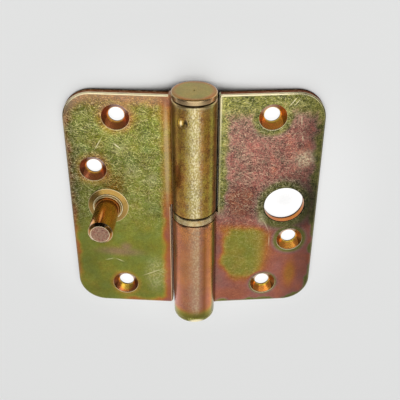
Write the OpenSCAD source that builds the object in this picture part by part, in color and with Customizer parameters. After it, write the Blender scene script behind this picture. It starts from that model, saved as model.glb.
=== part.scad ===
// Security butt hinge, 89 x 89 mm, that lifts off its pin, with a stud that locks the shut leaves together.
// The pin axis is Z, the origin lies on it at half the height of the leaves, and the screw heads face -Y.
// The frame leaf lies along +X. The door leaf is the same blank turned round, laid open past flat.

/* [Leaves] */
// Height of each leaf, along the pin
leaf_h = 89; // [80:0.5:120]
// Reach of each leaf from the pin axis to its outer edge
leaf_w = 44.5; // [42:0.5:60]
// Thickness of the sheet steel
leaf_t = 3; // [2.5:0.1:3.5]
// Radius of the two outer corners
corner_r = 10; // [3:0.5:12]
// Radius of the small corner beside the other leaf's knuckle
inner_corner_r = 1.2; // [0.8:0.1:3]
// Rounding that the punch leaves on the front edges
edge_r = 0.5; // [0.2:0.1:0.7]
// Gap between the two front faces when the hinge is shut
closed_gap = 2.5; // [2:0.1:3.5]
// Angle between the front faces as the hinge lies open, 180 is flat
open_angle = 188; // [150:1:200]

/* [Knuckles] */
// Diameter of the pin hole in the rolled knuckles
bore_d = 9.3; // [8:0.1:10]
// Distance from the pin axis at which the sheet starts to bend back to the knuckle
bend_x = 10.4; // [9.9:0.1:13]
// Angle at which the rolled end stops short of the leaf, seen along the pin
seam_deg = 8; // [0:0.5:9]
// Rounding of the knuckles' outer end edges
knuckle_edge_r = 0.5; // [0.2:0.1:0.8]
// Gap between a knuckle and the edge of the other leaf beside it
notch_gap = 0.7; // [0.5:0.1:1.2]
// Height of the lower knuckle's top face, from the middle of the leaves
split_z = -2; // [-6:0.1:4]

/* [Screw holes] */
// Diameter of the screw holes
screw_d = 5.5; // [4:0.1:6]
// Diameter of the countersinks at the front face
head_d = 9.6; // [8:0.1:10.5]
// Full angle of the countersinks
head_deg = 90; // [80:1:110]
// Distance of the upper and lower holes from the ends of the leaf
screw_end = 8.75; // [7:0.25:12]
// Distance of the upper and lower holes from the leaf's outer edge
screw_inset = 18; // [16:0.5:22]
// Distance of the third hole from the leaf's outer edge
third_inset = 9; // [7:0.5:11]
// Distance of the third hole from the middle of the leaf
third_offset = 15.2; // [14:0.2:20]

/* [Security stud] */
// Distance of the stud from the leaf's outer edge
stud_inset = 13.5; // [12:0.5:16]
// Diameter of the stud
stud_d = 8.6; // [7:0.1:9.5]
// Reach of the stud beyond the front face
stud_reach = 17.6; // [12:0.2:22]
// Chamfer of the stud's tip
tip_chamfer = 1; // [0.4:0.1:1.6]
// Diameter of the collar on the leaf
collar_d = 14.6; // [13.5:0.1:16]
// Height of the collar's flange where its beads start
collar_h = 0.9; // [0.7:0.1:1.2]
// Height of the collar's outer edge
collar_edge_h = 0.3; // [0.2:0.1:0.6]
// Width of each of the two turned beads between the flange and the stud
bead_w = 0.6; // [0.4:0.1:0.7]
// Height of the inner bead above the outer one
bead_rise = 0.6; // [0.3:0.1:0.8]
// Diameter of the spigot that goes through the leaf
spigot_d = 7; // [5:0.1:8]
// Spread of the riveted end beyond the spigot, at the back face
rivet_spread = 0.9; // [0.5:0.1:1.2]
// Clearance round the stud in the frame leaf's hole
catch_clear = 2.9; // [2.4:0.1:3.2]
// How much further out than the stud the hole lies, for the arc of the stud's tip
catch_lead = 1.6; // [0.8:0.1:2]

/* [Pin and bearing] */
// Running clearance between the pin and the upper knuckle
pin_clear = 0.05; // [0.02:0.01:0.1]
// Height of the pin's head under the lower knuckle
pin_head_h = 2.8; // [2:0.1:5]
// Rounding of the pin's head
pin_head_r = 1.9; // [0.5:0.1:1.9]
// Chamfer of the pin's upper end
pin_chamfer = 0.5; // [0.2:0.1:0.7]
// Height of the ring between the knuckles
ring_h = 3; // [2:0.1:6]
// Gap between the ring and the upper knuckle
ring_gap = 0.45; // [0.2:0.05:0.6]
// Chamfer of the ring's outer edges
ring_chamfer = 0.25; // [0.1:0.05:0.5]
// Height of the foot that the ring stands on
ring_foot_h = 0.35; // [0.2:0.05:0.5]
// How far the foot stands in from the ring's outside
ring_foot_inset = 0.9; // [0.5:0.1:1.5]
// Clearance of the ball in the upper knuckle
ball_clear = 0.5; // [0.3:0.05:0.8]
// Depth of the pin's cup that the ball sits in
ball_sink = 2.4; // [1.5:0.1:3]
// Play between the ball and the cap's plug
ball_play = 0.05; // [0.02:0.01:0.1]

/* [Top cap] */
// Height of the cap's disc
cap_h = 2; // [1.5:0.1:4]
// How far the cap's disc stands in from the knuckle's outside
cap_inset = 0.05; // [0:0.05:0.6]
// Gap between the knuckle and the cap's disc
cap_gap = 0.55; // [0.2:0.05:0.7]
// Rounding of the cap's upper edge
cap_top_r = 0.7; // [0.3:0.05:0.9]
// Rounding of the cap's lower edge
cap_edge_r = 0.3; // [0.1:0.05:0.5]
// Diameter of the lathe's centre mark in the cap
centre_d = 0.8; // [0.4:0.1:1.5]
// Length of the cap's plug in the knuckle
plug_h = 10.5; // [9:0.1:14]
// Depth of the stake mark's centre below the knuckle's top
stake_drop = 5.8; // [5:0.1:6.5]
// Angle of the stake mark from straight in front, towards the leaf
stake_deg = 24; // [0:1:60]
// Diameter of the stake mark
stake_d = 3; // [2.5:0.1:3.4]
// Depth of the stake mark
stake_depth = 0.8; // [0.4:0.05:0.9]
// Width of the lip that the punch raises round the stake mark
stake_lip_w = 0.7; // [0.6:0.1:1]
// Height of that lip above the knuckle
stake_lip_h = 0.12; // [0.05:0.01:0.2]
// Clearance of the plug's groove round the staked wall
stake_clear = 0.3; // [0.2:0.05:0.5]

/* [Hidden] */
$fn = 96;
cut = 0.5;
half_h = leaf_h / 2;
face_y = closed_gap / 2;
back_y = face_y + leaf_t;
bore_r = bore_d / 2;
barrel_r = bore_r + leaf_t;
notch_x = barrel_r + notch_gap;

// The bend runs from the leaf's middle plane onto the knuckle's middle circle. It leaves the plane smoothly, and
// reaches a hair's breadth into the knuckle, so that their faces meet in a clean line.
eye_mid_r = bore_r + leaf_t / 2;
leaf_mid_y = face_y + leaf_t / 2;
bend_bite = 0.01;
root_r = eye_mid_r - bend_bite;
bend_r = (bend_x * bend_x / (root_r - leaf_mid_y) - root_r - leaf_mid_y) / 2;
bend_y = leaf_mid_y + bend_r;
root_deg = atan2(bend_y, bend_x);
lap_deg = 1.5;
overrun_deg = 1;

upper_z = split_z + ring_h + ring_gap;
frame_strip = split_z + half_h;
door_strip = half_h - upper_z;

stud_x = leaf_w - stud_inset;
stud_r = stud_d / 2;
spigot_r = spigot_d / 2;
collar_r = collar_d / 2;
// Side of the spigot from the back face to the front face, flared where its end is riveted over
spigot_edge = [
  [spigot_r + rivet_spread, -leaf_t],
  [spigot_r, rivet_spread - leaf_t],
  [spigot_r, 0],
];
catch_r = stud_r + catch_clear;
catch_x = stud_x + catch_lead;

plug_z = half_h - plug_h;
ball_r = bore_r - ball_clear;
ball_z = plug_z - ball_play - ball_r;
pin_top_z = ball_z - ball_r + ball_sink;
cap_r = barrel_r - cap_inset;
cap_z = half_h + cap_gap;

// The stake's punch has a round nose, which leaves a round dent outside and pushes the wall in as far inside
stake_z = half_h - stake_drop;
stake_nose_r = (stake_d * stake_d / 4 + stake_depth * stake_depth) / (2 * stake_depth);

steel_gold = [0.62, 0.54, 0.28];
steel_olive = [0.52, 0.52, 0.25];
steel_rose = [0.60, 0.44, 0.34];
steel_bright = [0.72, 0.72, 0.72];

// What rounding takes off an edge: x runs out of the edge, y runs in from the face
module edge_waste(r) {
  difference() {
    translate([-r, -cut]) square(r + cut);
    translate([-r, r]) circle(r);
  }
}

// Waste along a straight edge whose outside is +X and whose face is at y = 0, upward from z = 0
module straight_waste(length) {
  linear_extrude(length) edge_waste(edge_r);
}

// Waste round a convex corner of radius r, in the quarter of +X and -Z
module corner_waste(r) {
  rotate([-90, 0, 0]) rotate_extrude(angle = 90) translate([r, 0]) edge_waste(edge_r);
}

// What is cut from a square corner to round it, in the quarter of +X and +Y
module corner_square(r) {
  difference() {
    square(r + cut);
    circle(r);
  }
}

// Slice between two directions from a point, long enough to cut a circle of radius r
module wedge(r, from, to) {
  polygon([[0, 0], 2 * r * [cos(from), sin(from)], 2 * r * [cos(to), sin(to)]]);
}

// Outline of the flat leaf, without the strip that becomes the knuckle at its lower end
module leaf_outline(strip) {
  difference() {
    translate([notch_x, -half_h]) square([leaf_w - notch_x, leaf_h]);
    for (side = [-1, 1])
      scale([1, side]) translate([leaf_w - corner_r, half_h - corner_r]) corner_square(corner_r);
    translate([notch_x + inner_corner_r, half_h - inner_corner_r])
      mirror([1, 0]) corner_square(inner_corner_r);
    translate([0, -half_h - cut]) square([bend_x, strip + cut]);
  }
}

// Round piece about the middle of the bend
module bend_disc(r) {
  translate([bend_x, bend_y]) circle(r);
}

// Section of the rolled eye and the bend that carries it, which lap over each other where they meet
module knuckle_section() {
  difference() {
    union() {
      difference() {
        circle(barrel_r);
        wedge(barrel_r, seam_deg, root_deg - lap_deg);
      }
      intersection() {
        bend_disc(bend_r + leaf_t / 2);
        translate([bend_x, bend_y]) wedge(bend_r + leaf_t, 180 + root_deg, 270);
      }
    }
    circle(bore_r);
    bend_disc(bend_r - leaf_t / 2);
  }
}

// What rounding takes off the front edges of a leaf whose knuckle is at its lower end, where it fades in the bend
module front_waste(strip) {
  translate([leaf_w, face_y, corner_r - half_h]) straight_waste(leaf_h - 2 * corner_r);
  for (side = [0, 1]) mirror([0, 0, side])
    translate([leaf_w - corner_r, face_y, corner_r - half_h]) corner_waste(corner_r);
  translate([leaf_w - corner_r, face_y, half_h]) rotate([0, -90, 0])
    straight_waste(leaf_w - corner_r - notch_x - inner_corner_r);
  mirror([0, 0, 1]) translate([leaf_w - corner_r, face_y, half_h]) rotate([0, -90, 0])
    straight_waste(leaf_w - corner_r - notch_x);
  translate([notch_x, face_y, strip - half_h]) mirror([1, 0, 0])
    straight_waste(leaf_h - strip - inner_corner_r);
  translate([notch_x + inner_corner_r, face_y, half_h - inner_corner_r]) mirror([1, 0, 0]) mirror([0, 0, 1])
    corner_waste(inner_corner_r);
}

// What rounding takes off a knuckle's outer end edge, for an end at z = 0 that faces up
module knuckle_waste() {
  rotate(90) rotate_extrude(angle = 270 + seam_deg + overrun_deg)
    translate([barrel_r, 0]) mirror([0, 1]) edge_waste(knuckle_edge_r);
}

// Countersunk screw hole from the front face at y = 0
module screw_hole() {
  depth = (head_d - screw_d) / 2 / tan(head_deg / 2);
  flare = cut * tan(head_deg / 2);
  rotate([-90, 0, 0]) {
    translate([0, 0, -cut]) cylinder(h = leaf_t + 2 * cut, d = screw_d);
    translate([0, 0, -cut]) cylinder(h = depth + cut, d1 = head_d + 2 * flare, d2 = screw_d);
  }
}

// One leaf with its knuckle rolled from the lower part of its inner edge, and its three screw holes
module rolled_leaf(strip) {
  difference() {
    union() {
      translate([0, back_y, 0]) rotate([90, 0, 0]) linear_extrude(leaf_t) leaf_outline(strip);
      translate([0, 0, -half_h]) linear_extrude(strip) knuckle_section();
    }
    front_waste(strip);
    for (z = [-1, 1] * (half_h - screw_end)) translate([leaf_w - screw_inset, face_y, z]) screw_hole();
    translate([leaf_w - third_inset, face_y, -third_offset]) screw_hole();
  }
}

// Places what belongs to the door leaf, modelled as a leaf along +X, at the angle at which the hinge lies
module at_door() {
  rotate(180 - open_angle) rotate([0, 180, 0]) children();
}

// Half section of the hole that the stud's spigot fills, with the flare of the riveted end at the back
module spigot_hole() {
  polygon([
    [0, -leaf_t - cut],
    [spigot_r + rivet_spread, -leaf_t - cut],
    each spigot_edge,
    [spigot_r, cut],
    [0, cut],
  ]);
}

// Right leaf, which is screwed to the door frame, with the hole that takes the stud
module frame_leaf() {
  color(steel_rose) difference() {
    rolled_leaf(frame_strip);
    translate([0, 0, split_z]) knuckle_waste();
    translate([catch_x, face_y, 0]) rotate([-90, 0, 0]) {
      translate([0, 0, -cut]) cylinder(h = leaf_t + 2 * cut, r = catch_r);
      rotate_extrude() translate([catch_r, 0]) mirror([1, 0]) edge_waste(edge_r);
    }
  }
}

// Left leaf, which is screwed to the door, with the stud's riveted hole and the staked knuckle
module door_leaf() {
  color(steel_olive) at_door() difference() {
    union() {
      rolled_leaf(door_strip);
      at_stake(barrel_r + stake_lip_h - stake_lip_w / 2) rotate([0, 90, 0]) rotate_extrude()
        translate([(stake_d + stake_lip_w) / 2, 0]) circle(d = stake_lip_w);
      intersection() {
        at_stake(bore_r - stake_depth + stake_nose_r) sphere(stake_nose_r);
        translate([0, 0, -half_h]) cylinder(h = leaf_h, r = eye_mid_r);
      }
    }
    at_stake(barrel_r - stake_depth + stake_nose_r) sphere(stake_nose_r);
    translate([0, 0, -upper_z]) knuckle_waste();
    translate([0, 0, -half_h]) mirror([0, 0, 1]) knuckle_waste();
    translate([stud_x, face_y, 0]) rotate([90, 0, 0]) rotate_extrude() spigot_hole();
  }
}

// Point at a distance from the pin axis in the stake's direction, on the door leaf's blank
module at_stake(distance) {
  rotate(stake_deg - 90) translate([distance, 0, -stake_z]) children();
}

// Pin pressed into the lower knuckle, with a rounded head under it and a cup for the ball in its top
module hinge_pin() {
  color(steel_rose) difference() {
    union() {
      translate([0, 0, -half_h]) cylinder(h = frame_strip, r = bore_r);
      cylinder(h = pin_top_z - pin_chamfer, r = bore_r - pin_clear);
      translate([0, 0, split_z]) cylinder(h = -split_z, r = bore_r - pin_clear);
      translate([0, 0, pin_top_z - pin_chamfer])
        cylinder(h = pin_chamfer, r1 = bore_r - pin_clear, r2 = bore_r - pin_clear - pin_chamfer);
      rotate_extrude() translate([0, -half_h]) pin_head_section();
    }
    translate([0, 0, ball_z]) sphere(ball_r);
  }
}

// Half section of the pin's head, flat on top at y = 0 and rounded below
module pin_head_section() {
  translate([0, -pin_head_h]) square([barrel_r - pin_head_r, pin_head_h]);
  translate([0, pin_head_r - pin_head_h]) square([barrel_r, pin_head_h - pin_head_r]);
  intersection() {
    translate([barrel_r - pin_head_r, pin_head_r - pin_head_h]) circle(pin_head_r);
    translate([0, -pin_head_h]) square([barrel_r, pin_head_h]);
  }
}

// Ring on the pin, whose narrower foot stands on the lower knuckle
module bearing_ring() {
  foot_r = barrel_r - ring_foot_inset;
  color(steel_gold) translate([0, 0, split_z]) rotate_extrude() polygon([
    [bore_r, 0],
    [foot_r, 0],
    [foot_r, ring_foot_h],
    [barrel_r - ring_chamfer, ring_foot_h],
    [barrel_r, ring_foot_h + ring_chamfer],
    [barrel_r, ring_h - ring_chamfer],
    [barrel_r - ring_chamfer, ring_h],
    [bore_r, ring_h],
  ]);
}

// Ball in the pin's cup, which carries the door
module bearing_ball() {
  color(steel_bright) translate([0, 0, ball_z]) sphere(ball_r);
}

// Half section of the cap's disc, rounded above and below, with its flat underside at y = 0
module cap_section() {
  translate([0, cap_edge_r]) square([cap_r, cap_h - cap_top_r - cap_edge_r]);
  square([cap_r - cap_edge_r, cap_h / 2]);
  translate([0, cap_h / 2]) square([cap_r - cap_top_r, cap_h / 2]);
  translate([cap_r - cap_edge_r, cap_edge_r]) circle(cap_edge_r);
  translate([cap_r - cap_top_r, cap_h - cap_top_r]) circle(cap_top_r);
}

// Cap on the upper knuckle, with a plug that is staked in the bore and rests on the ball
module top_cap() {
  groove_h = stake_d + 2 * stake_clear;
  color(steel_olive) difference() {
    union() {
      translate([0, 0, plug_z]) cylinder(h = cap_z - plug_z, r = bore_r);
      translate([0, 0, cap_z]) rotate_extrude() cap_section();
    }
    translate([0, 0, stake_z - groove_h / 2]) difference() {
      cylinder(h = groove_h, r = barrel_r);
      cylinder(h = groove_h, r = bore_r - stake_depth - stake_clear);
    }
    translate([0, 0, cap_z + cap_h - centre_d / 2]) cylinder(h = centre_d / 2, r1 = 0, d2 = centre_d);
  }
}

// Half section of the stud: flared spigot, tapered flange, two beads that step up to the shank, chamfered tip
module stud_section() {
  polygon([
    [0, -leaf_t],
    each spigot_edge,
    [collar_r, 0],
    [collar_r, collar_edge_h],
    [stud_r + 2 * bead_w, collar_h],
    [stud_r, collar_h],
    [stud_r, stud_reach - tip_chamfer],
    [stud_r - tip_chamfer, stud_reach],
    [0, stud_reach],
  ]);
  for (step = [0, 1]) {
    top = collar_h + step * bead_rise;
    square([stud_r + (2 - step) * bead_w, top]);
    translate([stud_r + (1.5 - step) * bead_w, top]) circle(d = bead_w);
  }
}

// Stud riveted into the door leaf, which enters the frame leaf as the hinge shuts
module security_stud() {
  color(steel_gold) at_door() translate([stud_x, face_y, 0]) rotate([90, 0, 0]) rotate_extrude() stud_section();
}

frame_leaf();
door_leaf();
hinge_pin();
bearing_ring();
bearing_ball();
top_cap();
security_stud();
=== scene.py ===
import math

import bpy
from mathutils import Matrix, Vector

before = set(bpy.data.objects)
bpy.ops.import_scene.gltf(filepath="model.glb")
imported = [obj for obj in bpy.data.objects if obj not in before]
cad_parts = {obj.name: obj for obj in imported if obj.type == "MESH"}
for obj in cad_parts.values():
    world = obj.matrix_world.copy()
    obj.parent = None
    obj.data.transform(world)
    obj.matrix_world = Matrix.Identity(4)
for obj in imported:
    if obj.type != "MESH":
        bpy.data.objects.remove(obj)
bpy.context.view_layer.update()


# Frame leaf: the right-hand plate, blanked from 3 mm steel sheet, its lower half rolled into a knuckle.
# Zinc plated and yellow passivated in a barrel, so the film runs through green, mauve, rose, orange
# and gold with its thickness, and the tumbling has left the plate covered in fine pale scratches.
class Shade:
    """A socket in a material's nodes. A sum or product of sockets and numbers adds its Math nodes."""

    def __init__(self, tree, socket=None):
        self.tree = tree
        self.socket = socket

    def node(self, kind, settings=None, sockets=None, output=0):
        """Adds a node of any kind: its settings first, then the values or links of its sockets."""
        made = self.tree.nodes.new("ShaderNode" + kind)
        for name, value in (settings or {}).items():
            if name == "stops":
                for at, colour in value[1:-1]:
                    made.color_ramp.elements.new(at).color = colour
                ends = made.color_ramp.elements
                ends[0].position, ends[0].color = value[0]
                ends[-1].position, ends[-1].color = value[-1]
            else:
                setattr(made, name, value)
        for key, value in (sockets or {}).items():
            if isinstance(value, Shade):
                self.tree.links.new(value.socket, made.inputs[key])
            else:
                made.inputs[key].default_value = value
        return Shade(self.tree, made.outputs[output] if made.outputs else None)

    def math(self, operation, *values):
        return self.node("Math", {"operation": operation}, dict(enumerate(values)))

    def __add__(self, other):
        return self.math("ADD", self, other)

    def __sub__(self, other):
        return self.math("SUBTRACT", self, other)

    def __rsub__(self, other):
        return self.math("SUBTRACT", other, self)

    def __mul__(self, other):
        return self.math("MULTIPLY", self, other)

    def __truediv__(self, other):
        return self.math("DIVIDE", self, other)

    def __pow__(self, other):
        return self.math("POWER", self, other)

    def __abs__(self):
        return self.math("ABSOLUTE", self)

    __radd__ = __add__
    __rmul__ = __mul__

    def least(self, other):
        return self.math("MINIMUM", self, other)

    def most(self, other):
        return self.math("MAXIMUM", self, other)

    def step(self, start, end):
        """0 up to start, 1 from end, smooth between them."""
        ends = {"Value": self, "From Min": start, "From Max": end}
        return self.node("MapRange", {"interpolation_type": "SMOOTHSTEP"}, ends)

    def blend(self, below, above):
        """The colour below, covered by the colour above as far as this value says."""
        return self.node("Mix", {"data_type": "RGBA"}, {0: self, 6: below, 7: above}, output=2)

    def axes(self):
        split = self.node("SeparateXYZ", {}, {"Vector": self})
        outputs = split.socket.node.outputs
        return [Shade(self.tree, outputs[i]) for i in range(3)]

    def noise(self, size, detail=2.0, seed=0.0):
        """Cloudy variation about 0.5, with features of that size or those three sizes in millimetres."""
        sizes = size if isinstance(size, tuple) else (size, size, size)
        place = {"Vector": self, "Location": (seed, seed, seed), "Scale": sizes}
        moved = self.node("Mapping", {"vector_type": "TEXTURE"}, place)
        return self.node("TexNoise", {}, {"Vector": moved, "Scale": 1.0, "Detail": detail})

    def spot(self, centre, radii, turn=0.0, core=0.5):
        """A soft oval in the plate's plane: 1 in its core, 0 past its radii. A thin one is a scratch."""
        place = {"Vector": self, "Location": centre, "Rotation": (0, math.radians(turn), 0), "Scale": radii}
        local = self.node("Mapping", {"vector_type": "TEXTURE"}, place)
        reach = local.node("VectorMath", {"operation": "LENGTH"}, {0: local}, output="Value")
        return 1 - reach.step(core, 1)


def tone(red, green, blue):
    """A screen colour of 0 to 255 as the linear colour that shows so."""
    screen = [level / 255 for level in (red, green, blue)]
    return tuple(((level + 0.055) / 1.055) ** 2.4 for level in screen) + (1,)


FILM = [
    (0.00, tone(84, 90, 28)),
    (0.12, tone(112, 108, 52)),
    (0.24, tone(137, 102, 87)),
    (0.36, tone(145, 88, 78)),
    (0.48, tone(153, 87, 62)),
    (0.60, tone(162, 100, 42)),
    (0.74, tone(150, 126, 44)),
    (0.88, tone(122, 124, 42)),
    (1.00, tone(108, 122, 56)),
]
BARE_ZINC = tone(216, 204, 166)
LEAF = 44.5
CORNER = 10.0
SHEET = 3.0
FRONT = 1.25
BACK = FRONT + SHEET
DEPTH = 2.2
BARREL = 7.65
NOTCH = BARREL + 0.7
SCREW_ACROSS = 26.5
SCREW_UP = 35.75
THIRD_ACROSS = 35.5
THIRD_UP = 15.2
FRAME_SCREWS = [(SCREW_ACROSS, SCREW_UP), (THIRD_ACROSS, -THIRD_UP), (SCREW_ACROSS, -SCREW_UP)]
HEAD_RADIUS = 4.85
BORE_RADIUS = 3.15
# Painted marks in the countersinks: a highlight along each lower rim, and light on the lower side.
RIM_RADIUS = 4.95
LIT_FLOOR_RADIUS = 3.7
LIT_FLOOR_DROP = 2.6
CATCH_ACROSS = 32.6
CATCH_RADIUS = 7.9


def new_steel(name):
    """A material and the place on its piece in millimetres."""
    material = bpy.data.materials.new(name)
    material.use_nodes = True
    material.node_tree.nodes.clear()
    place = Shade(material.node_tree).node("TexCoord", output="Object")
    return material, place.node("VectorMath", {"operation": "SCALE"}, {0: place, "Scale": 1000.0})


def streaks(place, turn, length, width, seed):
    """Short straight scratches that all run one way in the plate's plane."""
    run = {"Vector": place, "Location": (seed, 0, seed), "Rotation": (0, math.radians(turn), 0)}
    run["Scale"] = (length, width * 3, width)
    along = place.node("Mapping", {"vector_type": "TEXTURE"}, run)
    grain = along.node("TexNoise", {}, {"Vector": along, "Scale": 1.0, "Detail": 0.0})
    return grain.step(0.66, 0.86)


def tumbled(place, seed):
    """Hair scratches in all directions, a little bent, as tumbling leaves them."""
    sway = place.node("TexNoise", {}, {"Vector": place, "Scale": 0.25, "Detail": 1.0}, output="Color")
    bent = place.node("VectorMath", {"operation": "MULTIPLY_ADD"}, {0: sway, 1: (1.2, 1.2, 1.2), 2: place})
    marks = None
    for i, turn in enumerate((8, 37, 64, 95, 121, 150, 172)):
        layer = streaks(bent, turn, 2.5 - 0.2 * i, 0.17 + 0.012 * i, seed + 31 * i)
        marks = layer if marks is None else marks.most(layer)
    return marks.most(place.noise(0.5, 0.0, seed).step(0.74, 0.82))


def coat(film, mask, thickness):
    """The film where a patch of another thickness lies in it."""
    return film + mask * (thickness - film)


def passivate(material, place, film, marks, worn_zinc_and_highlight, light=1.0, coarse=1.0, rough=0.24, stains=(), torn=None):
    """Passivated zinc: the film's colour with its stains, made lighter or darker by the painted light and
    shade it is given, the grain of the sheet, the tumbling marks, pale zinc where the film is scratched or
    rubbed through and where a highlight is painted, and the matt steel where it was sheared."""
    grain = place.noise(0.42, 1.0, 7.0) - 0.5
    mottle = place.noise(2.4, 3.0, 29.0) - 0.5
    cloud = place.noise(9.0, 3.0, 3.0) - 0.5
    colour = film.node("ValToRGB", {"stops": FILM}, {"Fac": film + coarse * (0.08 * grain + 0.12 * mottle)})
    for mask, stain in stains:
        colour = mask.blend(colour, stain)
    # The light factor is painted light and shade; grain, mottle, cloud and marks are the sheet's own tone.
    shade = light * (0.615 + coarse * (1.05 * grain + 0.65 * mottle) + 0.5 * cloud + 0.65 * marks)
    colour = colour.node("VectorMath", {"operation": "SCALE"}, {0: colour, "Scale": shade})
    colour = worn_zinc_and_highlight.most(0.34 * marks).blend(colour, BARE_ZINC)
    height = 0.6 * coarse * grain + marks + worn_zinc_and_highlight
    dents = height.node("Bump", {}, {"Strength": 0.5, "Distance": 0.00005, "Height": height})
    steel = colour.node("BsdfPrincipled", {}, {
        "Base Color": colour,
        "Metallic": 0.9,
        "Roughness": rough + 0.15 * cloud + 0.1 * worn_zinc_and_highlight,
        "Normal": dents,
    })
    if torn is not None:
        matt = colour.node("BsdfDiffuse", {}, {"Color": colour})
        steel = torn.node("MixShader", {}, {0: torn, 1: steel, 2: matt})
    steel.node("OutputMaterial", {}, {"Surface": steel})


def dress(node, material):
    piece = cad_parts[node]
    piece.data.materials.clear()
    piece.data.materials.append(material)


def plate_rim(out, up):
    """Distance in from the plate's outer, top and bottom edges and its two round corners."""
    across = abs(out) - (LEAF - CORNER)
    along = abs(up) - (LEAF - CORNER)
    round_part = (across.most(0) ** 2 + along.most(0) ** 2) ** 0.5
    return CORNER - round_part - across.most(along).least(0)


def drum_azimuth(x, y):
    """The place round the barrel, in degrees from the front, positive to the right."""
    return x.math("ARCTAN2", x, 0 - y) * math.degrees(1)


def around_barrel(x, y, stops, rear_film):
    """The look round a knuckle, from rows of degrees from the front, film thickness, light and pale zinc.
    The film bands are partly its own colours and partly painted reflection, the light is painted light and
    shade, and the pale zinc is a painted highlight. Behind the barrel both sides run into one film."""
    ramp = [((deg + 90) / 180, (film, light / 2, worn_zinc_and_highlight, 1)) for deg, film, light, worn_zinc_and_highlight in stops]
    look = x.node("ValToRGB", {"stops": ramp}, {"Fac": (drum_azimuth(x, y) + 90) / 180})
    film, half_light, worn_zinc_and_highlight = look.axes()
    rear = y.step(0.5, 6.5)
    return coat(film, rear, rear_film), coat(2 * half_light, rear, 1.1), worn_zinc_and_highlight * (1 - rear)


def edge_wear_and_highlight(inward, deep):
    """Pale zinc on a rounded front edge, partly worn through and partly a painted highlight,
    from the distance in from it and the depth from the pin.
    """
    return (1 - inward.step(0.4, 0.8)) * (1 - deep.step(FRONT + 0.3, FRONT + 0.8))


def cut_wall(inward, deep):
    """1 on the sheared wall between a leaf's front edge and its back."""
    return (1 - inward.step(0.05, 0.25)) * deep.step(FRONT + 0.45, FRONT + 0.8)


def countersinks(place, centres, radius, drop=0.0):
    """1 on discs of that radius at the screw holes or below their centres, 0 on the plate."""
    discs = None
    for across, along in centres:
        disc = place.spot((across, FRONT, along - drop), (radius, 99.0, radius), core=0.95)
        discs = disc if discs is None else discs.most(disc)
    return discs


frame_steel, place = new_steel("rose_passivated_steel")
x, y, z = place.axes()
wander = place.noise(6.0, 3.0, 11.0) - 0.5
rim = plate_rim(x, z)
plate = x.step(8.4, 8.8)
upper = z.step(-16, 4)
film = 0.29 + 0.06 * x.step(18, 34) + 0.06 * (1 - z.step(-14, 6)) + 0.32 * wander
drift = place.noise(13.0, 1.0, 19.0) - 0.5
across = x + 6.0 * wander + 10.0 * drift
along = z + 7.0 * wander + 0.2 * x - 8.0 * drift
patch = across.step(7.0, 13.0) * (1 - across.step(20.0, 35.0))
patch = patch * along.step(-38.0, -25.0) * (1 - along.step(-7.0, -0.5))
patch = patch * place.spot((18.3, FRONT, -20.0), (16.5, 9.0, 20.0), core=0.45)
film = coat(film, patch, 0.84 + 0.25 * wander)
film = coat(film, place.spot((17.0, FRONT, 2.0), (13.0, 9.0, 11.0), core=0.3), 0.43)
film = coat(film, place.spot((36.6, FRONT, -31.5), (4.0, 6.0, 10.5), core=0.2), 0.62)
film = coat(film, place.spot((14.0, FRONT, -41.0), (11.0, 6.0, 6.0), core=0.2), 0.47)
green = 1 - (rim + 6.0 * wander).step(0.4, 1.8 + 4.0 * z.step(-22, 8))
green = green.most((z + 7.0 * wander + 4.0 * drift).step(31.0, 41.5))
green = green.most((1 - (x + 4.0 * wander).step(9.8, 13.4)) * z.step(-6, 2))
green_rings = zip(FRAME_SCREWS + [(CATCH_ACROSS, 0)], (9.0, 8.0, 6.6, 13.0), (0.6, 0.62, 0.66, 0.62))
for (hole_across, hole_up), reach, core in green_rings:
    ring = place.spot((hole_across, FRONT, hole_up), (reach, reach, reach), core=core)
    green = green.most(ring)
green = green.most(place.spot((11.0, FRONT, -44.2), (3.6, 6.0, 2.4), core=0.3))
film = coat(film, green, 0.07)
# Lower knuckle: film bands partly painted reflection, painted bright and dark bands, painted highlight.
knuckle_film_and_reflection, knuckle_light, knuckle_highlight = around_barrel(x, y, [
    (-85, 0.46, 1.80, 0.0), (-62, 0.50, 2.50, 0.05), (-40, 0.54, 2.05, 0.07), (-22, 0.55, 1.45, 0.09),
    (-12, 0.54, 1.15, 0.14), (-4, 0.54, 0.90, 0.20), (6, 0.56, 0.90, 0.24), (13, 0.50, 1.0, 0.10),
    (26, 0.59, 1.15, 0.0), (36, 0.56, 2.20, 0.05), (50, 0.65, 2.60, 0.0), (60, 0.80, 1.25, 0.0),
    (80, 0.60, 0.70, 0.0),
], 0.54)
radius = (x ** 2 + y ** 2) ** 0.5
barrel = 1 - radius.step(BARREL + 0.1, BARREL + 0.9)
foot = 1 - z.step(-44.0, -39.5)
film = coat(film, barrel, knuckle_film_and_reflection + 0.2 * wander - 0.08 * (1 - z.step(-40, -18)))
film = coat(film, barrel * foot, 0.84)
back = y.step(BACK - 0.06, BACK - 0.02) * plate
film = coat(film, back, 0.58 + 0.9 * drift + 0.4 * wander)
marks = tumbled(place, 5.0) * (0.12 + 0.68 * upper + 0.2 * patch) * (1 - 0.85 * x.step(33, 42))
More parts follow.
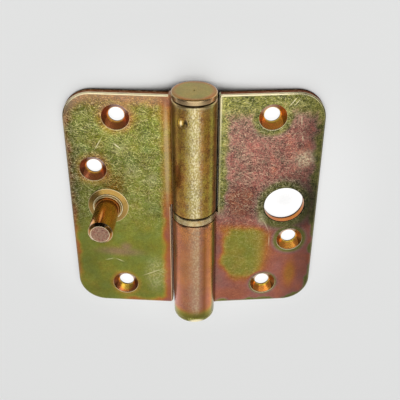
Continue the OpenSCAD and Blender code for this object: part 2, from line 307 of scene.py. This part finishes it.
# Pale zinc on the top and notch edges: partly wear, partly a painted highlight, strongest on top.
top_edge_wear_and_highlight = edge_wear_and_highlight(rim, y) * plate * (0.12 + 0.88 * z.step(38, 43) * (1 - 0.7 * x.step(28, 36)))
notch_edge_wear_and_highlight = edge_wear_and_highlight(0.65 * (x - NOTCH), y) * z.step(-4, -1) * (0.2 + 0.4 * z.step(18, 42))
worn_zinc_and_highlight = top_edge_wear_and_highlight.most(notch_edge_wear_and_highlight)
for centre, radii, turn, strength in (
    ((32.9, FRONT, 41.2), (2.9, DEPTH, 0.18), -51, 0.9),
    ((34.3, FRONT, 41.0), (2.2, DEPTH, 0.16), -54, 0.8),
    ((36.3, FRONT, 34.2), (3.0, DEPTH, 0.18), 86, 0.7),
    ((37.2, FRONT, 27.3), (1.6, DEPTH, 0.17), 84, 0.7),
    ((26.3, FRONT, -8.2), (5.4, DEPTH, 0.4), 68, 0.22),
    ((27.9, FRONT, -15.6), (3.6, DEPTH, 0.3), 88, 0.28),
):
    worn_zinc_and_highlight = worn_zinc_and_highlight.most(place.spot(centre, radii, turn, 0.2) * strength)
scuff = place.spot((38.4, FRONT, 19.2), (5.2, DEPTH, 5.4), core=0.1)
scuff = scuff.most(0.7 * place.spot((24.6, FRONT, -5.6), (2.4, DEPTH, 4.4), core=0.1))
scuff = scuff * (0.3 + 0.7 * place.noise(0.8, 3.0, 2.0).step(0.42, 0.62))
# The knuckle's painted highlight, broken into flecks, none on its foot.
sparkle = (0.75 + 0.6 * place.noise((0.5, 0.5, 0.8), 2.0, 41.0).step(0.42, 0.62)) * (1 - foot)
worn_zinc_and_highlight = worn_zinc_and_highlight.most(0.45 * scuff).most(barrel * knuckle_highlight * sparkle)
cone = countersinks(place, FRAME_SCREWS, HEAD_RADIUS) * (1 - back)
bore = countersinks(place, FRAME_SCREWS, BORE_RADIUS) * (1 - back)
# Painted light on each countersink's lower side, and a painted highlight along its lower rim.
lit_floor = countersinks(place, FRAME_SCREWS, LIT_FLOOR_RADIUS, LIT_FLOOR_DROP)
worn_zinc_and_highlight = worn_zinc_and_highlight.most(0.5 * countersinks(place, FRAME_SCREWS, RIM_RADIUS, 0.2)) * (1 - back)
catch_wall = place.spot((CATCH_ACROSS, FRONT, 0), (CATCH_RADIUS, 99.0, CATCH_RADIUS), core=0.97)
catch_wall = catch_wall * y.step(FRONT + 0.2, FRONT + 0.5) * (1 - back)
wall = cut_wall(rim, y) * plate
notch = cut_wall(x - NOTCH, y) * z.step(-3, -2)
holes = cone.most(catch_wall)
film = coat(coat(coat(film, holes, 0.60 + 0.25 * wander), bore, 0.72), wall, 0.50)
# Painted shade towards the outer edge and in two spots, painted light on the green by the top and bend.
light = 1.0 - 0.07 * upper - 0.42 * x.step(28, 44) + 0.4 * green * z.step(26, 42)
light = light - 0.4 * place.spot((16.0, FRONT, 2.0), (14.0, 9.0, 12.0), core=0.3)
light = light - 0.38 * place.spot((34.6, FRONT, 0), (14.0, 9.0, 16.0), core=0.6)
light = light + 0.3 * green * (1 - x.step(10, 14)) - 0.12 * patch
# The knuckle's painted light and shade, darker towards its foot.
light = coat(coat(light, back, 1.0), barrel, knuckle_light * (0.93 - 0.3 * foot))
# Painted light in the countersinks and hole walls, shaded towards their back edges.
catch_back_shade = y.step(BACK - 1.1, BACK - 0.6)
bore_back_shade = y.step(BACK - 0.7, BACK - 0.35)
light = coat(coat(light, cone, 1.2 + 2.4 * lit_floor), catch_wall, 3.2 - 2.9 * catch_back_shade)
light = coat(light, bore, 3.6 - 3.2 * bore_back_shade)
# Sheared walls painted darker towards the back, the notch wall nearly black.
light = coat(light, wall, 1.1 - 1.0 * y.step(FRONT + 1.2, BACK - 0.2))
light = coat(light, notch, 0.06)
sheared = wall.most(notch)
passivate(
    frame_steel, place, film,
    marks=marks * (1 - holes) * (1 - 0.5 * barrel),
    worn_zinc_and_highlight=worn_zinc_and_highlight * (1 - holes) * (1 - sheared),
    light=light,
    coarse=(0.32 + 1.4 * upper) * (1 - 0.8 * holes) * (1 - 0.6 * sheared),
    rough=0.24 + 0.04 * barrel,
    torn=sheared.most(0.3 * catch_wall).most(0.15 * cone),
)
dress("frame_leaf", frame_steel)


# Hinge pin: a turned steel pin pressed into the lower knuckle, with a low domed head that closes its end.
# Passivated with the leaf, with faint patches of worn zinc and a painted highlight on the front of the head's
# crown.
pin_steel, place = new_steel("olive_pin_steel")
wander = place.noise(4.0, 2.0, 5.0) - 0.5
film = 0.86 + 0.2 * wander
marks = tumbled(place, 9.0)
worn_zinc_and_highlight = 0.1 * place.noise(2.0, 2.0, 4.0).step(0.5, 0.7)
# A painted highlight on the front of the head's crown.
worn_zinc_and_highlight = worn_zinc_and_highlight.most(place.spot((0.3, -7.2, -46.0), (3.6, 3.0, 1.3), core=0.4))
passivate(pin_steel, place, film, 0.6 * marks, worn_zinc_and_highlight)
dress("hinge_pin", pin_steel)


# Bearing ring: a plain turned washer that the upper knuckle turns on.
# Passivated pale gold, and worn to pale zinc in patches all over.
ring_steel, place = new_steel("gold_ring_steel")
wander = place.noise((3.0, 3.0, 1.0), 2.0, 8.0) - 0.5
film = 0.68 + 0.25 * wander
worn_zinc_and_highlight = 0.36 + 0.9 * (place.noise(1.2, 2.0, 4.0) - 0.5)
passivate(ring_steel, place, film, 0.5 * tumbled(place, 12.0), worn_zinc_and_highlight, 1.0, 0.6, 0.2)
dress("bearing_ring", ring_steel)


# Bearing ball: a hardened and polished steel ball on the pin's end, which carries the door's weight.
# It is closed in by the upper knuckle, and has a film of grease and faint rolling marks.
ball_steel, place = new_steel("bright_ball_steel")
smear = place.noise(2.5, 3.0, 6.0)
marks = place.noise((0.3, 0.3, 3.0), 2.0, 2.0)
grease = smear.step(0.45, 0.7).blend(tone(205, 206, 208), tone(176, 168, 142))
polish = grease.node("BsdfPrincipled", {}, {
    "Base Color": grease,
    "Metallic": 1.0,
    "Roughness": 0.1 + 0.2 * smear * marks,
})
polish.node("OutputMaterial", {}, {"Surface": polish})
dress("bearing_ball", ball_steel)


# Door leaf: the left-hand plate, the same blank turned end for end, its upper half rolled over the pin.
# Its film is thicker, olive green with rose and copper along the edges and round the countersinks.
OPEN_TURN = math.radians(8)
DOOR_SCREWS = [(-SCREW_ACROSS, SCREW_UP), (-THIRD_ACROSS, THIRD_UP), (-SCREW_ACROSS, -SCREW_UP)]

door_steel, place = new_steel("olive_passivated_steel")
turned = {"Vector": place, "Axis": (0, 0, 1), "Angle": OPEN_TURN}
leaf = place.node("VectorRotate", {"rotation_type": "AXIS_ANGLE"}, turned)
out, deep, z = leaf.axes()
out = 0 - out
x, y, _ = place.axes()
wander = place.noise(6.0, 3.0, 21.0) - 0.5
rim = plate_rim(out, z)
plate = out.step(8.4, 8.8)
upper = z.step(-16, 8)
low_corner = (1 - z.step(-40, -28)) * out.step(22, 32)
bend_band = 1 - (out + 2.0 * wander).step(9.8, 13.0)
border = 1 - (rim + 3.5 * wander).step(0.3, 2.8 + 4.2 * z.step(30, 44))
border = border * (1 - low_corner) * (1 - 0.6 * bend_band)
for (hole_across, hole_up), reach, core in zip(DOOR_SCREWS, (8.4, 8.4, 7.0), (0.5, 0.5, 0.6)):
    ring = leaf.spot((hole_across, FRONT, hole_up), (reach, reach, reach), core=core)
    border = border.most(0.85 * ring)
film = 0.90 + 0.3 * wander - (0.28 - 0.06 * z.step(34, 40)) * border
film = film - 0.20 * bend_band * (2 - z.step(-4, 10)) - 0.10 * (z + 4.0 * wander).step(32, 42)
# Upper knuckle: film bands partly painted reflection, painted bright and dark bands, painted highlight.
knuckle_film_and_reflection, knuckle_light, knuckle_highlight = around_barrel(x, y, [
    (-85, 0.62, 0.90, 0.0), (-62, 0.64, 1.35, 0.0), (-46, 0.68, 1.50, 0.0), (-30, 0.68, 1.50, 0.05),
    (-16, 0.74, 1.25, 0.20), (-6, 0.76, 1.10, 0.44), (5, 0.74, 1.10, 0.40), (14, 0.66, 1.10, 0.14),
    (23, 0.70, 1.20, 0.0), (33, 0.68, 1.40, 0.0), (44, 0.80, 1.85, 0.0), (54, 0.72, 1.92, 0.0),
    (68, 0.55, 1.60, 0.0), (84, 0.48, 0.60, 0.0),
], 0.72)
radius = (x ** 2 + y ** 2) ** 0.5
barrel = 1 - radius.step(BARREL + 0.1, BARREL + 0.9)
film = coat(film, barrel, knuckle_film_and_reflection + 0.2 * wander)
back = deep.step(BACK - 0.06, BACK - 0.02) * plate
film = coat(film, back, 0.80 + 0.8 * (leaf.noise(13.0, 1.0, 33.0) - 0.5) + 0.3 * wander)
scraped = leaf.spot((-14.5, FRONT, -31.0), (6.0, DEPTH, 12.0), core=0.2)
marks = tumbled(leaf, 15.0) * (0.1 + 0.9 * upper).most(0.5 * scraped) * (1 - 0.7 * bend_band)
# Pale zinc on the edges: partly wear, partly a painted highlight, strongest on top.
worn_zinc_and_highlight = edge_wear_and_highlight(rim, deep) * plate * (0.1 + 0.15 * z.step(-10, 30) + 0.75 * z.step(38, 43))
# A painted highlight down the bend.
worn_zinc_and_highlight = worn_zinc_and_highlight.most(0.2 * leaf.spot((-9.6, FRONT, 22.0), (1.2, DEPTH, 30.0), core=0.3))
worn_zinc_and_highlight = worn_zinc_and_highlight.most(0.45 * edge_wear_and_highlight(out - NOTCH, deep) * (1 - z.step(0, 1)))
# Pale speckle on the top border, and a painted highlight round the knuckle's top end.
worn_zinc_and_highlight = worn_zinc_and_highlight.most(0.16 * border * z.step(34, 40)).most(0.3 * barrel * z.step(42.6, 44.2))
rubbed = leaf.spot((-25.5, FRONT, 23.2), (4.0, DEPTH, 3.4), core=0.1)
rubbed = rubbed.most(leaf.spot((-21.8, FRONT, 15.0), (3.4, DEPTH, 4.8), core=0.1))
rubbed = rubbed.most(leaf.spot((-14.9, FRONT, 11.6), (3.0, DEPTH, 4.6), core=0.1))
for centre, radii, turn, strength in (
    ((-33.0, FRONT, 25.4), (4.0, DEPTH, 0.22), -60, 0.7),
    ((-26.5, FRONT, 24.7), (2.3, DEPTH, 0.3), 43, 0.9),
    ((-32.0, FRONT, -24.4), (2.4, DEPTH, 0.34), -17, 0.3),
    ((-28.2, FRONT, -24.7), (2.4, DEPTH, 0.34), 25, 0.35),
    ((-16.0, FRONT, -30.0), (5.6, DEPTH, 0.28), -25, 0.5),
):
    worn_zinc_and_highlight = worn_zinc_and_highlight.most(leaf.spot(centre, radii, turn, 0.2) * strength)
# The knuckle's painted highlight in flecks, and a painted highlight on the staking mark's lip.
sparkle = 0.45 + 1.1 * place.noise((0.5, 0.5, 0.8), 2.0, 43.0).step(0.42, 0.62)
rubbed = rubbed.most(0.8 * scraped) * (0.2 + 0.8 * place.noise(0.7, 3.0, 23.0).step(0.44, 0.62))
stake_highlight = place.spot((-4.7, -6.0, 38.3), (0.5, 3.0, 1.5), core=0.4)
worn_zinc_and_highlight = worn_zinc_and_highlight.most(0.55 * stake_highlight).most(0.28 * rubbed).most(barrel * knuckle_highlight * sparkle)
mauve = leaf.spot((-28.0, FRONT, -20.6), (13.0, DEPTH, 3.0), 2, 0.1)
mauve = mauve.most(leaf.spot((-25.5, FRONT, -18.6), (3.4, DEPTH, 3.4), core=0.1))
cone = countersinks(leaf, DOOR_SCREWS, HEAD_RADIUS) * (1 - back)
bore = countersinks(leaf, DOOR_SCREWS, BORE_RADIUS) * (1 - back)
# Painted light on each countersink's lower side, and a painted highlight along its lower rim.
lit_floor = countersinks(leaf, DOOR_SCREWS, LIT_FLOOR_RADIUS, LIT_FLOOR_DROP)
worn_zinc_and_highlight = worn_zinc_and_highlight.most(0.5 * countersinks(leaf, DOOR_SCREWS, RIM_RADIUS, 0.2)) * (1 - back)
wall = cut_wall(rim, deep) * plate
notch = cut_wall(out - NOTCH, deep) * (1 - z.step(0, 1))
film = coat(coat(coat(film, cone, 0.53 + 0.15 * wander), bore, 0.66), wall, 0.52)
# The lowest countersink painted gold and lit more brightly.
golden_lit_cone = cone * leaf.spot((-SCREW_ACROSS, FRONT, -37.6), (3.2, 99.0, 3.0), core=0.6)
film = coat(film, golden_lit_cone, 0.72)
# Painted shade towards the outer edge, across the middle and along the top.
light = 1.05 - 0.16 * upper - 0.2 * out.step(24, 40) - 0.42 * out.step(39.0, 43.0) * z.step(-14, 4)
light = light + 0.18 * z.step(16, 30) - 0.27 * z.step(34, 42)
light = coat(light, barrel, 0.94 * knuckle_light)
# Painted shade beside the staking mark.
light = light * (1 - 0.7 * place.spot((-3.2, -6.9, 38.8), (0.9, 3.0, 1.1), core=0.5))
# Painted light in the countersinks and bores, shaded towards the bores' back edges.
bore_back_shade = deep.step(BACK - 0.7, BACK - 0.35)
light = coat(coat(light, cone, 0.9 + 1.3 * lit_floor + 1.2 * golden_lit_cone), bore, 3.4 - 3.1 * bore_back_shade)
# Sheared walls painted darker towards the back.
light = coat(light, wall, 1.1 - 1.0 * deep.step(FRONT + 1.2, BACK - 0.2))
sheared = wall.most(notch)
coarse = (0.4 + 0.95 * upper) * (1 - 0.8 * cone) * (1 - 0.6 * sheared)
passivate(
    door_steel, place, film,
    marks=marks * (1 - cone) * (1 - 0.5 * barrel),
    worn_zinc_and_highlight=(worn_zinc_and_highlight * (1 - wall)).most(0.6 * notch) * (1 - cone),
    light=light,
    coarse=coarse * (1 - 0.6 * bend_band * (1 - barrel)),
    rough=0.24 + 0.04 * barrel,
    stains=[(0.55 * mauve, tone(150, 108, 98))],
    torn=sheared.most(0.12 * cone),
)
dress("door_leaf", door_steel)


# Top cap: a turned cap with a plug staked into the upper knuckle, which shuts the barrel over the ball.
# Khaki on its flat top, with a gold rim where the film thins over the turned corner.
cap_steel, place = new_steel("khaki_cap_steel")
x, y, _ = place.axes()
radius = (x ** 2 + y ** 2) ** 0.5
wander = place.noise(4.0, 2.0, 13.0) - 0.5
film = 0.78 + 0.16 * wander - 0.14 * radius.step(5.2, 6.8)
marks = tumbled(place, 3.0) * 0.12
# Greyer worn zinc on the side; painted light makes the cap lighter, its side darker but lit on the right.
side = radius.step(7.2, 7.5)
worn_zinc_and_highlight = 0.3 * side
light = 1.17 - side * (0.27 - 0.85 * x.step(2.0, 6.0))
passivate(cap_steel, place, film, marks, worn_zinc_and_highlight, light, 0.2, 0.22)
dress("top_cap", cap_steel)


# Security stud: a turned stud riveted through the door leaf, which enters the frame leaf when the door shuts.
# Polished gold shank painted lighter, tan collar with two beads, and an end rubbed to pinkish zinc.
# Painted highlights lie on the beads, the collar's edge, the chamfer's foot and the end's rim, and a painted
# shadow crescent under the chamfer's top.
STUD_TIP = 17.6
STUD_ACROSS = 31.0
COLLAR_TOP = 2.1

stud_steel, place = new_steel("gold_stud_steel")
leaf = place.node("VectorRotate", {"rotation_type": "AXIS_ANGLE"}, {
    "Vector": place, "Axis": (0, 0, 1), "Angle": OPEN_TURN,
})
out, deep, z = leaf.axes()
height = FRONT - deep
wander = leaf.noise((1.6, 5.0, 1.6), 3.0, 17.0) - 0.5
shank = height.step(COLLAR_TOP - 0.4, COLLAR_TOP)
tip = height.step(STUD_TIP - 0.12, STUD_TIP - 0.02)
around = ((out + STUD_ACROSS) ** 2 + z ** 2) ** 0.5
chamfer = height.step(STUD_TIP - 1.1, STUD_TIP - 0.95)
# A painted shadow crescent under the top edge of the chamfer.
shadow = leaf.spot((-STUD_ACROSS + 0.7, FRONT - STUD_TIP, 3.6), (3.3, 99.0, 1.2), core=0.6) * chamfer
film = coat(0.69 + 0.1 * wander, shank, 0.62 + 0.2 * wander)
film = coat(film, tip, 0.38 + 0.15 * wander)
# Painted highlights on the collar's outer edge and on its beads.
edge = around.step(7.0, 7.2) * (1 - shank)
beads = around.step(4.7, 4.8) * (1 - around.step(5.3, 5.45)) * height.step(1.0, 1.1)
worn_zinc_and_highlight = (0.06 - 0.06 * shank).most(0.5 * edge).most(0.8 * beads)
# A painted highlight along the chamfer's foot; the end is rubbed to zinc, with a painted highlight round its
# rim.
worn_zinc_and_highlight = worn_zinc_and_highlight.most(0.5 * chamfer * (1 - tip) * (1 - height.step(STUD_TIP - 0.85, STUD_TIP - 0.7)))
worn_zinc_and_highlight = coat(worn_zinc_and_highlight, tip, 0.24 * leaf.noise(0.45, 3.0, 6.0).step(0.25, 0.75) + 0.5 * around.step(3.05, 3.2))
# Painted light and shade: the shank and chamfer lit brighter, the end darker, and the shadow crescent.
light = coat(coat(1.14 + 1.71 * shank, chamfer, 1.5), tip, 0.78) * (1 - 0.95 * shadow * (1 - tip))
passivate(stud_steel, place, film, tumbled(leaf, 27.0) * 0.2, worn_zinc_and_highlight * (1 - shadow * (1 - tip)), light,
          0.25 + 0.5 * tip, 0.26 - 0.14 * shank + 0.1 * tip)
dress("security_stud", stud_steel)


# Camera: at the photograph's place, above and in front of the cap end and a little to the left.
# Its lens and angles lay the hinge's outline and holes on those of the photograph.
IMAGE = 400
FOCAL_PIXELS = 742.84
SENSOR = 36.0
ELEVATION = math.radians(33.738)
AZIMUTH = math.radians(4.473)
ROLL = math.radians(0.309)
EYE = Vector((-0.014958, -0.217435, 0.150248))

ahead = Vector((
    math.sin(AZIMUTH) * math.cos(ELEVATION),
    math.cos(AZIMUTH) * math.cos(ELEVATION),
    -math.sin(ELEVATION),
))
level = Vector((math.cos(AZIMUTH), -math.sin(AZIMUTH), 0))
upright = level.cross(ahead)
right = level * math.cos(ROLL) + upright * math.sin(ROLL)
up = upright * math.cos(ROLL) - level * math.sin(ROLL)
lens = bpy.data.cameras.new("camera")
lens.sensor_width = SENSOR
lens.lens = SENSOR * FOCAL_PIXELS / IMAGE
lens.clip_start = 0.01
camera = bpy.data.objects.new("camera", lens)
camera.matrix_world = Matrix.Translation(EYE) @ Matrix((right, up, -ahead)).transposed().to_4x4()
bpy.context.scene.collection.objects.link(camera)
bpy.context.scene.camera = camera


# Table: the pale surface that the open hinge lies on, touched by the barrel and by both leaves' outer edges.
# A matt board with an even glow, dark where the hinge covers it, and clear from behind, so that the
# hinge's back shows. Its glow is painted brighter round the hinge and behind the holes, where the camera
# looks through them, and a painted shadow lies above the cap.
# Its glowing surround is what the polished edges mirror, and is open where the hinge lies.
TABLE_NORMAL = Vector((math.cos(math.radians(86)), math.sin(math.radians(86)), 0))
TABLE_OFF = BARREL / 1000
TABLE_REACH = 1.2
OPENING = 0.0452
TABLE_COLOUR = tone(140, 141, 140)
TABLE_GLOW = 0.455
HALO_GLOW = 0.53
HOLE_GLOW = 0.94
SURROUND_GLOW = 1.2
SHADE_REACH = 0.03

table_side = TABLE_NORMAL.cross(Vector((0, 0, 1)))


def seen_through(leaf_point):
    """Where the camera sees the table through a point of a leaf."""
    way = leaf_point - EYE
    return EYE + way * (TABLE_OFF - EYE.dot(TABLE_NORMAL)) / way.dot(TABLE_NORMAL)


# Painted glow spots on the table where the camera looks through the screw holes and catch hole.
door_turn = Matrix.Rotation(-OPEN_TURN, 3, "Z")
BORE_DEEP = 3.5
CATCH_DEEP = 2.8
BORE_SPOT = 0.0036
CATCH_SPOT = 0.0085
HOLE_GLOW_SPOTS = [(seen_through(Vector((CATCH_ACROSS, CATCH_DEEP, 0)) / 1000), CATCH_SPOT)]
for hole_across, hole_up in FRAME_SCREWS:
    HOLE_GLOW_SPOTS.append((seen_through(Vector((hole_across, BORE_DEEP, hole_up)) / 1000), BORE_SPOT))
for hole_across, hole_up in DOOR_SCREWS:
    on_door = door_turn @ Vector((hole_across, BORE_DEEP, hole_up)) / 1000
    HOLE_GLOW_SPOTS.append((seen_through(on_door), BORE_SPOT))


def board(name, corners, faces, shader):
    """A flat board on the table's plane, its corners given along the table and up."""
    mesh = bpy.data.meshes.new(name)
    middle = TABLE_NORMAL * TABLE_OFF
    mesh.from_pydata([middle + table_side * a + Vector((0, 0, b)) for a, b in corners], [], faces)
    mesh.update()
    if mesh.polygons[0].normal.dot(TABLE_NORMAL) > 0:
        mesh.flip_normals()
    paint = bpy.data.materials.new(name)
    paint.use_nodes = True
    paint.node_tree.nodes.clear()
    surface = shader(Shade(paint.node_tree))
    surface.node("OutputMaterial", {}, {"Surface": surface})
    mesh.materials.append(paint)
    made = bpy.data.objects.new(name, mesh)
    bpy.context.scene.collection.objects.link(made)
    made.visible_diffuse = False
    made.visible_transmission = False
    made.visible_shadow = False
    return made


def square(reach):
    return [(-reach, -reach), (reach, -reach), (reach, reach), (-reach, reach)]


def pale_paint(shade):
    """Matt paint with an even glow, dark where the hinge shuts the light out; a painted shadow above the cap,
    a glow painted brighter round the hinge, and painted light where the camera looks through the holes.
    """
    place = shade.node("TexCoord", output="Object")
    open_side = shade.node("AmbientOcclusion", {"samples": 12}, {"Distance": SHADE_REACH}, output="AO")
    near = 1 - open_side.step(0.6, 0.85)
    behind = 1 - open_side.step(0.26, 0.62)
    # A painted shadow above the cap.
    behind = behind.most(0.3 * place.spot((0, TABLE_OFF, 0.0435), (0.0105, 0.1, 0.0065), core=0.5))
    # A painted pool of brighter glow round the hinge.
    halo = place.spot((0, TABLE_OFF, 0), (0.075, 0.1, 0.070), core=0.6)
    pale = halo.blend((TABLE_GLOW, TABLE_GLOW, TABLE_GLOW, 1), (HALO_GLOW, HALO_GLOW, HALO_GLOW, 1))
    paint = behind.blend(TABLE_COLOUR, tone(42, 36, 29))
    glow = behind.blend(pale, (0, 0, 0, 1))
    # Painted light behind the holes, where the camera looks through them, only close to the hinge.
    for centre, radius in HOLE_GLOW_SPOTS:
        disc = place.spot(centre, (radius, radius, radius), core=0.8)
        glow = (disc * near).blend(glow, (HOLE_GLOW, HOLE_GLOW, HOLE_GLOW, 1))
    matt = paint.node("BsdfDiffuse", {}, {"Color": paint})
    return glow.node("AddShader", {}, {0: matt, 1: glow.node("Emission", {}, {"Color": glow})})


def one_sided_paint(shade):
    """The same paint, clear from behind."""
    behind = shade.node("NewGeometry", output="Backfacing")
    return behind.node("MixShader", {}, {0: behind, 1: pale_paint(shade), 2: shade.node("BsdfTransparent")})


def pale_glow(shade):
    return shade.node("Emission", {}, {"Color": (SURROUND_GLOW,) * 3 + (1,)})


table = board("table", square(TABLE_REACH), [(0, 1, 2, 3)], one_sided_paint)
table.visible_glossy = False
ring_faces = [(i, (i + 1) % 4, 4 + (i + 1) % 4, 4 + i) for i in range(4)]
surround = board("table_surround", square(TABLE_REACH) + square(OPENING), ring_faces, pale_glow)
surround.visible_camera = False


# Studio light: one wide soft box in front, a little above level, which the plates and the barrel mirror.
# The room is pale low in front and behind the hinge, and dark overhead.
ROOM_FRONT = 0.10
ROOM_BEHIND = 0.9
ROOM_SEEN = 0.75
GLOWS = [
    ((4, 1, -33), (66, 1, 26), 0.15, 0.8),
    ((0, 1, -52), (180, 1, 34), 0.6, 0.9),
    ((0, 1, -90), (180, 1, 24), 0.5, 1.2),
]


def soft_box(name, toward, distance, width, height, radiance):
    lamp = bpy.data.lights.new(name, "AREA")
    lamp.shape = "RECTANGLE"
    lamp.size = width
    lamp.size_y = height
    lamp.energy = radiance * math.pi * width * height
    box = bpy.data.objects.new(name, lamp)
    way = Vector(toward).normalized()
    box.location = way * distance
    box.rotation_mode = "QUATERNION"
    box.rotation_quaternion = way.to_track_quat("Z", "Y")
    bpy.context.scene.collection.objects.link(box)
    return box


soft_box("front_soft_box", (0, -0.978, 0.21), 0.6, 0.9, 0.75, 2.1)
room = bpy.data.worlds.new("pale_room")
room.use_nodes = True
room.node_tree.nodes.clear()
sky = Shade(room.node_tree)
sky_x, sky_y, sky_z = sky.node("TexCoord", output="Generated").axes()
climb = sky_z.math("ARCSINE", sky_z) * math.degrees(1)
heading = sky.node("CombineXYZ", {}, {"X": drum_azimuth(sky_x, sky_y), "Y": 1.0, "Z": climb})
shine = ROOM_FRONT + (ROOM_BEHIND - ROOM_FRONT) * sky_y.step(-0.1, 0.4)
for middle, radii, core, radiance in GLOWS:
    shine = shine + radiance * heading.spot(middle, radii, core=core)
seen = sky.node("LightPath", output="Is Camera Ray")
glow = seen.node("Background", {}, {"Color": (1, 1, 1, 1), "Strength": coat(shine, seen, ROOM_SEEN)})
glow.node("OutputWorld", {}, {"Surface": glow})
bpy.context.scene.world = room
bpy.context.scene.view_settings.view_transform = "Standard"
